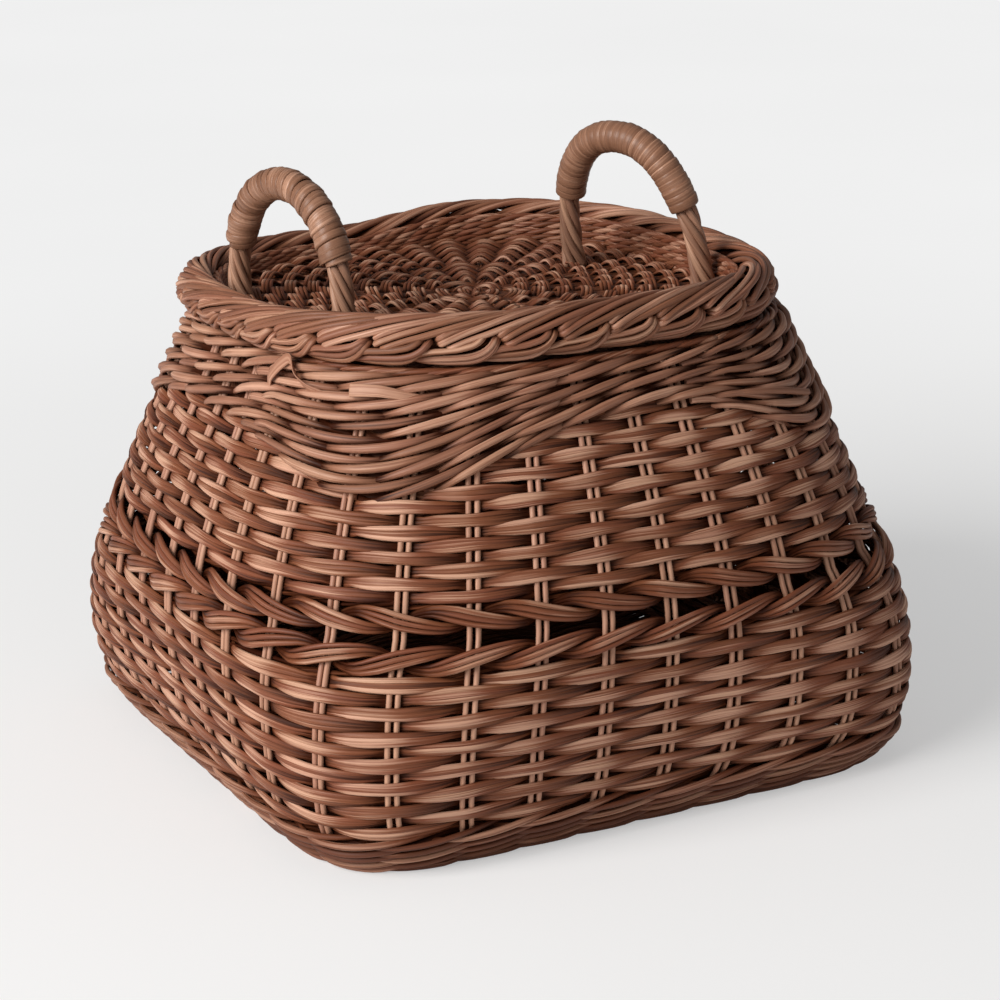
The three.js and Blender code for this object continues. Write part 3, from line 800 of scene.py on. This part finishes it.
def plait_place(pitches, degrees, lift):
    """A point on the ring of the border and the direction out of it."""
    share = pitches / BUNDLES
    flat, normal = lid_ring(share, BORDER_HALF)
    angle = np.radians(degrees)
    c, s = np.cos(angle), np.sin(angle)
    up = PLAIT_UP - 2.4 * sag(share)
    outwards = np.column_stack((normal * (c / PLAIT_OUT)[:, None], s / up))
    line = np.column_stack((flat + normal * ((PLAIT_OUT + lift) * c)[:, None],
                            PLAIT_MIDDLE - BORDER_SAG * sag(share) + (up + lift) * s))
    return line + LID_SHIFT, unit(outwards)


def beside_lid(share, z, half, drop):
    """Points of a ring of the lid and the directions out of it; drop is how far the back left gives."""
    flat, normal = lid_ring(share, half)
    return np.column_stack((flat, z - drop * sag(share))) + LID_SHIFT, np.column_stack((normal, 0 * z))


def border_core(share, z, out):
    return beside_lid(share, z, BORDER_HALF + out, BORDER_SAG)


def upstand(share, z, half):
    line, normal = beside_lid(share, z, half, (z - UPSTAND_FOOT) * UPSTAND_SAG)
    return line, -normal


def smooth_path(knots, spans, scale):
    """Even steps along a smooth run through knots; scale turns their first two values to millimetres."""
    knots = np.array(knots, float)
    run = travelled(knots[:, :2] * scale)
    t = np.linspace(0, run[-1], spans + 1)
    return np.column_stack([smooth_curve(t, run, column) for column in knots.T])


def plait_bundle(rng, start, knots, pinch, spans, sizes):
    """Three reeds laid side by side along one leaf of the plait, closer together where it dives."""
    reeds = []
    path = smooth_path(knots, spans, (30, PLAIT_DEGREE))
    scale = np.array((PLAIT_PITCH, PLAIT_DEGREE))
    flat = path[:, :2] * scale
    along = unit(np.gradient(flat, axis=0))
    across = np.column_stack((-along[:, 1], along[:, 0]))
    spread = np.interp(np.linspace(0, 1, spans + 1), (0, 0.2, 0.45, 0.75, 1), pinch)
    radius = sizes.plait / MM / 2
    bend, drift = rng.normal(0, 0.5), rng.normal(0, 0.03)
    for member in (-1, 0, 1):
        offset = member * 1.9 * radius * spread
        moved = flat + across * (offset + rng.normal(0, 0.15))[:, None]
        crown = -0.3 * member**2
        slip = rng.normal(0, 0.05)
        pitches, degrees = (moved / scale).T
        line, out = plait_place(start + pitches + drift + slip, degrees + bend,
                                path[:, 2] + crown + rng.normal(0, 0.15))
        size = radius * rng.uniform(0.93, 1.08)
        # painted shade where the leaf dives down into the plait
        shade = np.clip(0.5 - path[:, 2] * 0.27, 0, 1)
        reeds.append(random_reed(rng, line, out, size, size * 0.94, shade))
    return reeds


# Woven disc of the lid

def disc_row(rng, spokes, parity, half, swing, thick):
    """A ring of three fine reeds that pass over a group of spokes and under the next."""
    reeds = []
    per_spoke = max(8, int(half * 7 / spokes / 3.2))
    for member in (-1, 0, 1):
        offset = member * 1.95 * thick
        for q in spliced(rng, parity + 1, 0, spokes, 2, 3, 6, per_spoke):
            depth = DISC_DEPTH((q - parity) / 2)
            flat, normal = lid_ring(q / spokes, half + offset + 0.9 * depth)
            z = 265.6 + swing * depth * rng.uniform(0.95, 1.05) - 0.12 * abs(offset)
            z = z - 0.4 * near_ends(q, 0.12)
            line = np.column_stack((flat, z + rng.normal(0, 0.15))) + LID_SHIFT
            out = np.column_stack((normal * 0.12 * offset / thick, np.ones(len(q))))
            size = thick * rng.uniform(0.94, 1.06)
            # painted shade where the reed passes under the spokes, and a little painted light where it
            # passes over
            shade = np.clip(0.7 - 0.85 * depth, -0.2, 1)
            reeds.append(random_reed(rng, line, out, size, size * 0.85, shade))
    return reeds


def spoke_group(rng, share, inner, thick):
    """Four fine reeds side by side from the middle of the disc, bending up behind the border."""
    reeds = []
    knots = ((inner, 265.4), (60, 265.5), (100, 265.6), (126, 265.8), (134.5, 266.6), (139.5, 270.5),
             (140.6, 277.0))
    spans = 34
    half, z = smooth_path(knots, spans, (1, 1)).T
    for member in (-1.5, -0.5, 0.5, 1.5):
        offset = member * 1.98 * thick + rng.normal(0, 0.1)
        flat, normal = lid_ring(np.full(spans + 1, share), half)
        sideways = np.column_stack((-normal[:, 1], normal[:, 0], 0 * z))
        height = z - np.clip(z - UPSTAND_FOOT, 0, 20) * UPSTAND_SAG * sag(share)
        line = np.column_stack((flat, height)) + sideways * offset + LID_SHIFT
        out = np.cross(np.gradient(line, axis=0), sideways)
        reeds.append(random_reed(rng, line, out, thick, thick * 0.8, 0.3))
    return reeds


# Bow handles

HANDLES = {
    "right": {"foot": (105.5, -11.0), "yaw": 21.0, "lean": 12.0, "span": 98.0, "height": 83.0,
              "fullness": (0.94, 0.83)},
    "left": {"foot": (-110.7, 12.5), "yaw": 194.5, "lean": -2.0, "span": 95.0, "height": 69.0,
             "fullness": (1.0, 0.94)},
}


class Bow:
    """The centre line of a bow handle, read by millimetres along it."""

    def __init__(self, foot, yaw, lean, span, height, fullness):
        angle = np.linspace(0, math.pi, 1601)
        side = np.cos(angle)
        y = -(span / 2) * np.sign(side) * np.abs(side) ** np.where(side > 0, *fullness)
        z = height * np.abs(np.sin(angle)) ** 0.9
        points = np.column_stack((np.zeros_like(y), y, z))
        self.run = travelled(points)
        self.points = points
        self.total = self.run[-1]
        turn = Matrix.Rotation(math.radians(yaw), 3, "Z") @ Matrix.Rotation(math.radians(-lean), 3, "Y")
        self.turn = np.array(turn)
        self.foot = np.array((foot[0], foot[1], DISC_TOP)) + LID_SHIFT

    def local(self, run):
        inside = np.clip(run, 0, self.total)
        point = np.stack([np.interp(inside, self.run, self.points[:, i]) for i in range(3)], axis=1)
        point[:, 2] += np.minimum(run, 0) + np.minimum(self.total - run, 0)
        return point

    def beside(self, run, angle, radius):
        """Points beside the line, at an angle from the outer side, with the directions out and along."""
        ahead, behind = self.local(run + 0.6), self.local(run - 0.6)
        along = unit(ahead - behind)
        across = np.array([1.0, 0.0, 0.0])
        inward = unit(np.cross(along, across))
        out = across * np.cos(angle)[:, None] + inward * np.sin(angle)[:, None]
        line = self.local(run) + out * np.asarray(radius)[..., None]
        return line @ self.turn.T + self.foot, out @ self.turn.T, along @ self.turn.T


def handle_strands(rng, bow, sizes):
    """Six strands twisted together, which open out where they stand in the disc."""
    reeds = []
    # how deep the feet stand in the disc, and the length of one turn of the twist
    sunk, lay = 4.2, 84.0
    run = np.linspace(-sunk, bow.total + sunk, 111)
    near_foot = np.exp(-(np.minimum(run, bow.total - run) + sunk) / 9.0)
    radius = sizes.strand / MM / 2
    for strand in range(6):
        angle = -run * math.tau / lay + strand * math.pi / 3
        ring = 4.15 + 1.9 * near_foot + 0.25 * np.sin(run / 13 + strand * 2)
        line, out, _ = bow.beside(run, angle, ring)
        size = radius * rng.uniform(0.92, 1.06)
        # painted shade near the feet, where the strands stand in the disc
        reeds.append(random_reed(rng, line, out, size, size, 0.25 * near_foot, darkest=0.1))
    return reeds


def handle_cane(rng, bow, sizes):
    """Flat cane wound round the top of the bow, each turn a little over the one before."""
    turns = 29
    pitch = 4.34
    turn = np.linspace(0, turns, turns * 18 + 1)
    done = turn / turns
    uneven = wander(rng, 1.0, 6)
    drift = 0.3 * uneven(done * 0.9)
    ends = np.clip(np.minimum(turn, turns - turn) / 0.8, 0, 1)
    run = bow.total / 2 + (turn - turns / 2) * pitch + drift * ends
    wobble = 0.7 * np.sin(math.tau * turn + 1.0 * uneven(done)) * ends
    lift = 8.45 + 0.28 * uneven(done * 1.7 + 0.3) + 0.25 * np.sin(math.tau * turn * 1.03)
    line, out, along = bow.beside(run + wobble, turn * math.tau, lift * (0.93 + 0.07 * ends))
    tilt = unit(out - along * 0.11)
    wide = sizes.cane / MM / 2 * (1.06 + 0.12 * uneven(done * 2.3 + 0.6)) * (0.7 + 0.3 * ends)
    worn = 0.12 + 0.24 * uneven(done * 3.1 + 0.2)
    return [Reed(line, tilt, wide, 0.95, worn, 0.6, 0.5)]


# Floor

UPWARDS = np.array((0.0, 0.0, 1.0))
STICK_PITCH = 60.5


def floor_reeds(rng):
    """Reeds from side to side, over and under the five sticks."""
    reeds = []
    half = 168.0
    rows = 80
    for row in range(rows):
        y = (row - (rows - 1) / 2) * 4.15
        reach = half * (1 - (abs(y) / half) ** 7.5) ** (1 / 7.5)
        x = np.linspace(-reach, reach, 61)
        z = 5.5 + 3.5 * np.cos(math.pi * x / STICK_PITCH + math.pi * (row % 2))
        line = np.column_stack((x, y + 0.2 * np.sin(x / 23 + row), z))
        reeds.append(random_reed(rng, line, UPWARDS, 2.35, 1.6, 0.3))
    return reeds


def floor_stick(rng, i):
    """One of the five round sticks that the floor is woven on."""
    y = np.linspace(-152, 152, 13)
    line = np.column_stack(((i - 2) * STICK_PITCH + 0 * y, y, 5.4 + 0.2 * np.sin(y / 30 + i)))
    return [random_reed(rng, line, UPWARDS, 2.9, 2.45, 0, palest=0.8, darkest=0.2)]


# One operator for each group of pieces

class WeaveStep:
    """What all the operators share."""
    bl_options = {"REGISTER", "UNDO"}


class BASKET_OT_stakes(WeaveStep, bpy.types.Operator):
    """Set the 36 pairs of upright stakes"""
    bl_idname = "basket.stakes"
    bl_label = "Stakes"

    def execute(self, context):
        sizes = context.scene.basket_wall
        for k in range(STAKES):
            reeds = stake_reeds(k, np.random.default_rng(100 + k), sizes)
            lay_reeds(f"upright_pair_{k + 1:02d}", reeds, 8, "stake", "basket", "stake_reed",
                      f"stake_{k + 1:02d}", seed=k)
        return {"FINISHED"}


class BASKET_OT_plain_weave(WeaveStep, bpy.types.Operator):
    """Weave the two over-and-under bands"""
    bl_idname = "basket.plain_weave"
    bl_label = "Over-and-under weave"

    def execute(self, context):
        sizes = context.scene.basket_wall
        rng = np.random.default_rng(7)
        rows, bottom, top = 13, 26.3, 113.6
        pitch = (top - bottom) / rows
        reeds = []
        for row in range(rows):
            reeds += weaver_row(rng, row, bottom + (row + 0.5) * pitch, pitch, sizes)
        lay_reeds("lower_weavers", reeds, 6, "weaver", "basket", "weave_reed", "lower_weave", seed=8)
        rows, bottom, pitch = 15, 149.6, 6.15
        reeds = []
        for row in range(rows):
            middle = bottom + (row + 0.5) * pitch
            if middle - 1 <= SCALLOP_MIDDLE - SCALLOP_DEPTH:
                reeds += weaver_row(rng, row + 1, middle, pitch, sizes)
                continue
            # higher up, the row only fills the arches of the shoulder
            for side in range(4):
                share = side / 4 + np.linspace(-0.125, 0.125, 501)
                share = share[scallop(share) > middle - 1]
                if len(share) >= 60:
                    low, high = STAKES * share[[0, -1]] - STAKE_PHASE + (-0.5, 0.5)
                    reeds += weaver_row(rng, row + 1, middle, pitch, sizes, low, high, scallop)
        lay_reeds("upper_weavers", reeds, 6, "weaver", "basket", "weave_reed", "upper_weave", seed=9)
        return {"FINISHED"}


class BASKET_OT_waist(WeaveStep, bpy.types.Operator):
    """Twine the two waist rows, which slant opposite ways"""
    bl_idname = "basket.waist"
    bl_label = "Waist rows"

    def execute(self, context):
        radius = context.scene.basket_wall.waist / MM / 2
        rng = np.random.default_rng(17)
        for part, height, slant in (("lower", 121.6, -1), ("upper", 141.2, 1)):
            def middle(share, height=height, slant=slant):
                return height - slant * 2.2 * crowded(share)

            def tall(share):
                return radius * (1 + 0.14 * crowded(share))

            reeds = twined_row(rng, 2, 3, middle, steady(slant * 4.4), tall, radius, 3.5, 0.7)
            # packing between the row and the plain weave, painted fully dark as shade
            reeds += rope(rng, 2, 17, (height + slant * 8.0, -2.8), 0.8, 1.6, 1.2, 2.0, painted_shade_and_wear=1.0)
            lay_reeds(f"waist_twine_{part}", reeds, 8, "twine", "basket", "wale_reed", f"waist_{part}_row",
                      seed=18 + slant)
        return {"FINISHED"}


class BASKET_OT_wales(WeaveStep, bpy.types.Operator):
    """Twine the foot, the shoulder and the rim, and tuck in the loose ends"""
    bl_idname = "basket.wales"
    bl_label = "Foot, shoulder and rim"

    def execute(self, context):
        sizes = context.scene.basket_wall
        radius = sizes.twine / MM / 2
        rng = np.random.default_rng(27)
        reeds = []
        for row in range(5):
            reeds += twined_row(rng, 3, 1, steady(5.3 + 4.7 * row), steady(2.8), steady(radius * 0.76),
                                radius * 0.74, 3.6, 0.9)
        # the ledge under the stakes, and packing behind the rows
        reeds += rope(rng, 4, 24, (3.9, -4.6), 2.8, 1.5, 2.0, 2.1)
        for z in (9.5, 14.6, 19.7, 24.8):
            reeds += rope(rng, 2, 17, (z, -4.4), 0.9, 0.8, 1.3, 2.0)
        lay_reeds("foot_twine", reeds, 8, "foot", "basket", "wale_reed", "foot_wale", seed=28)
        lay_reeds("shoulder_twine", shoulder_reeds(rng, sizes), 7, "shoulder", "basket", "wale_reed",
                  "shoulder_wale", seed=29)
        lay_reeds("loose_ends", loose_ends(), 10, "shoulder", "basket", "wale_reed", squared=0.7, seed=31)
        # the rim over the tops of the stakes
        rim = rope(rng, 4, 16, (260.6, -0.6), 2.4, 1.0, 1.6, 1.8)
        rim += rope(rng, 3, 15, (261.0, -5.2), 1.6, 1.0, 1.6, 1.8)
        # packing behind the lower edge of the shoulder, painted fully dark as shade
        for z in (221.5, 226.5, 231.5):
            rim += rope(rng, 2, 17, (z, -4.6), 0.8, 1.0, 1.3, 2.0, painted_shade_and_wear=1.0)
        lay_reeds("rim_rope", rim, 8, "twine", "basket", "wale_reed", seed=30)
        return {"FINISHED"}


class BASKET_OT_floor_weave(WeaveStep, bpy.types.Operator):
    """Weave the floor over its five sticks"""
    bl_idname = "basket.floor_weave"
    bl_label = "Floor"

    def execute(self, context):
        rng = np.random.default_rng(37)
        reeds = floor_reeds(rng)
        lay_reeds("floor_weavers", reeds, 6, "disc", "basket", "floor_reed", "base_weave", seed=38)
        for i in range(5):
            lay_reeds(f"floor_stick_{i + 1}", floor_stick(rng, i), 10, "stake", "basket", "floor_reed",
                      f"base_stick_{i + 1}", seed=40 + i)
        return {"FINISHED"}


class BASKET_OT_lid_disc(WeaveStep, bpy.types.Operator):
    """Weave the sunk disc of the lid on its spokes"""
    bl_idname = "basket.lid_disc"
    bl_label = "Lid disc"

    def execute(self, context):
        thick = context.scene.basket_lid.disc / MM / 2
        rng = np.random.default_rng(47)
        reeds = []
        half = 131.0
        row = 0
        # fewer spokes nearer the middle: innermost half-width, number of spokes, swing and pitch of rows
        for inner, spokes, swing, pitch in ((72, 36, 4.2, 6.4), (26, 18, 3.9, 6.4), (4, 6, 2.2, 6.0)):
            while half > inner:
                reeds += disc_row(rng, spokes, row % 2, half, swing, thick)
                half -= pitch
                row += 1
        lay_reeds("disc_weavers", reeds, 6, "disc", "lid", "lid_reed", "lid_disc", seed=48)
        reeds = []
        for k in range(36):
            inner = 3 if k % 6 == 0 else 22 if k % 2 == 0 else 70
            reeds += spoke_group(rng, k / 36, inner, thick * 0.95)
        lay_reeds("disc_spokes", reeds, 6, "disc", "lid", "lid_reed", "lid_spokes", seed=49)
        return {"FINISHED"}


class BASKET_OT_border(WeaveStep, bpy.types.Operator):
    """Plait the border of the lid and twine the rows inside it"""
    bl_idname = "basket.border"
    bl_label = "Plaited border"

    def execute(self, context):
        sizes = context.scene.basket_lid
        rng = np.random.default_rng(57)
        reeds = []
        for k in range(BUNDLES):
            reeds += plait_bundle(rng, k, LOWER_LEAF, LOWER_PINCH, 26, sizes)
            reeds += plait_bundle(rng, k, UPPER_LEAF, UPPER_PINCH, 46, sizes)
        # the core of the plait and a rope under it, both painted fully dark as shade
        reeds += rope(rng, 3, 11, (PLAIT_MIDDLE, 0.0), 2.6, 5.0, 3.0, 3.9, border_core, 1.0)
        reeds += rope(rng, 3, 13, (267.2, -2.2), 1.6, 1.0, 1.5, 1.7, border_core, 1.0)
        lay_reeds("border_plait", reeds, 7, "plait", "lid", "border_reed", "lid_border", seed=58)
        reeds = []
        for row in range(-2, 5):
            centre = (265.2 + 4.1 * row, 136.9 + 0.5 * row)
            reeds += rope(rng, 3, 24 + row, centre, 1.5, 1.3, 1.5, 1.7, upstand)
        lay_reeds("upstand_twine", reeds, 7, "disc", "lid", "lid_reed", "lid_upstand", seed=59)
        return {"FINISHED"}


class BASKET_OT_handles(WeaveStep, bpy.types.Operator):
    """Twist the two bow handles and wrap them with flat cane"""
    bl_idname = "basket.handles"
    bl_label = "Bow handles"

    def execute(self, context):
        sizes = context.scene.basket_lid
        for number, (side, handle) in enumerate(HANDLES.items()):
            rng = np.random.default_rng(67 + number)
            bow = Bow(**handle)
            lay_reeds(f"bow_strands_{side}", handle_strands(rng, bow, sizes), 10, "strand", "lid",
                      "handle_reed", f"handle_core_{side}", seed=68 + number)
            lay_reeds(f"bow_cane_{side}", handle_cane(rng, bow, sizes), 12, "cane", "lid",
                      "wrap_cane", f"handle_wrap_{side}", squared=0.7, seed=70 + number)
        return {"FINISHED"}


class BASKET_OT_stage(WeaveStep, bpy.types.Operator):
    """Set the camera, the soft light and the plain floor"""
    bl_idname = "basket.stage"
    bl_label = "Stage"

    def execute(self, context):
        look = context.scene.basket_stage
        scene = context.scene
        shade = tuple(look.floor)
        camera = put("camera", bpy.data.cameras.new("camera"))
        camera.data.sensor_width = 36.0
        camera.data.lens = 98.7
        camera.data.clip_end = 100.0
        # where the camera looks, how far it is turned round, up and over, and how far off it stands
        place = Matrix.Translation((0.0074, -0.0039, 0.1392))
        for degrees, axis in ((-27.9, "Z"), (90 - 16.8, "X"), (-0.9, "Z")):
            place = place @ Matrix.Rotation(math.radians(degrees), 4, axis)
        camera.matrix_world = place @ Matrix.Translation((0, 0, 1.6454))
        scene.camera = camera

        lamp = put("key light", bpy.data.lights.new("key light", "AREA"))
        lamp.data.energy = look.key
        lamp.data.shape = "DISK"
        lamp.data.size = 2.7
        lamp.data.color = (1.0, 0.985, 0.965)
        source = Vector((-0.975, -0.22, 0.58))
        turned = source.to_track_quat("Z", "Y").to_matrix().to_4x4()
        lamp.matrix_world = Matrix.Translation(source.normalized() * 4.0) @ turned

        scene.world = backdrop(shade, look.fill)
        bm = bmesh.new()
        bmesh.ops.create_circle(bm, cap_ends=True, segments=96, radius=14.0)
        mesh = to_mesh("floor", bm)
        mesh.materials.append(paper_material(shade))
        put("floor", mesh)
        scene.view_settings.view_transform = "Standard"
        return {"FINISHED"}


STEPS = (
    BASKET_OT_stage, BASKET_OT_stakes, BASKET_OT_plain_weave, BASKET_OT_waist, BASKET_OT_wales,
    BASKET_OT_floor_weave, BASKET_OT_lid_disc, BASKET_OT_border, BASKET_OT_handles,
)


class BASKET_PT_panel(bpy.types.Panel):
    """The basket's pieces, sizes and colours"""
    bl_idname = "BASKET_PT_panel"
    bl_label = "Rattan basket"
    bl_space_type = "VIEW_3D"
    bl_region_type = "UI"
    bl_category = "Basket"

    def draw(self, context):
        layout = self.layout
        for group in ("basket_colours", "basket_wall", "basket_lid", "basket_stage"):
            settings = getattr(context.scene, group)
            box = layout.box()
            for name in settings.__annotations__:
                box.prop(settings, name)
        for step in STEPS:
            layout.operator(step.bl_idname)


GROUPS = {
    "basket_colours": BasketColours,
    "basket_wall": BasketWallSizes,
    "basket_lid": BasketLidSizes,
    "basket_stage": BasketStage,
}


def register():
    for cls in (*GROUPS.values(), *STEPS, BASKET_PT_panel):
        bpy.utils.register_class(cls)
    for name, cls in GROUPS.items():
        setattr(bpy.types.Scene, name, bpy.props.PointerProperty(type=cls))


def unregister():
    for name in GROUPS:
        delattr(bpy.types.Scene, name)
    for cls in (BASKET_PT_panel, *reversed(STEPS), *GROUPS.values()):
        bpy.utils.unregister_class(cls)


def main():
    register()
    for step in STEPS:
        group, name = step.bl_idname.split(".")
        result = getattr(getattr(bpy.ops, group), name)()
        if result != {"FINISHED"}:
            raise RuntimeError(f"{step.bl_label} was not made")


if __name__ == "__main__":
    main()
